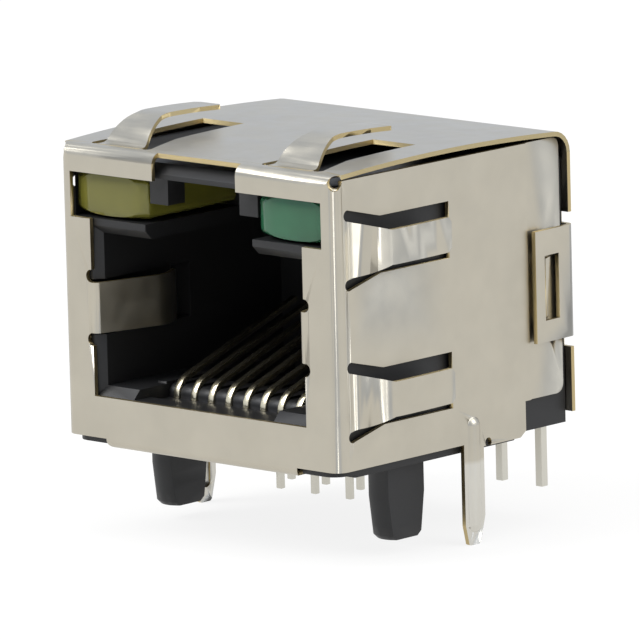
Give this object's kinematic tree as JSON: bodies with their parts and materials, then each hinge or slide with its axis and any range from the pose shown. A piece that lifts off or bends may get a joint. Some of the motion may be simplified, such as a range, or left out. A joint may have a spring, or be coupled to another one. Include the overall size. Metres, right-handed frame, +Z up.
{
  "type": "rj45 board jack",
  "caption": "Shielded right-angle modular jack for a circuit board, with grounding fingers, board pegs, solder tails and an indicator light in each upper front corner.",
  "frame": {"origin": "on the board plane, midway between the axes of the two board pegs", "axes": "+X to the right seen from the plug side, +Y from the plug side towards the rear, +Z up from the board"},
  "size_m": [0.018, 0.015, 0.0183],
  "materials": {
    "plated_brass": "satin nickel plate with bare brass on the cut edges",
    "black_moulding": "fine matt moulding",
    "contact_wire": "polished, gold-plated springs and tinned tails",
    "yellow_lens": "translucent olive yellow",
    "green_lens": "translucent green",
    "light_lead": "tinned"
  },
  "bodies": {
    "root": {"shield": "plated_brass", "housing": "black_moulding", "contact_carrier": "black_moulding", "contact_1": "contact_wire", "contact_2": "contact_wire", "contact_3": "contact_wire", "contact_4": "contact_wire", "contact_5": "contact_wire", "contact_6": "contact_wire", "contact_7": "contact_wire", "contact_8": "contact_wire", "yellow_light": "yellow_lens", "green_light": "green_lens", "yellow_lead_outer": "light_lead", "yellow_lead_inner": "light_lead", "green_lead_inner": "light_lead", "green_lead_outer": "light_lead"}
  },
  "joints": []
}
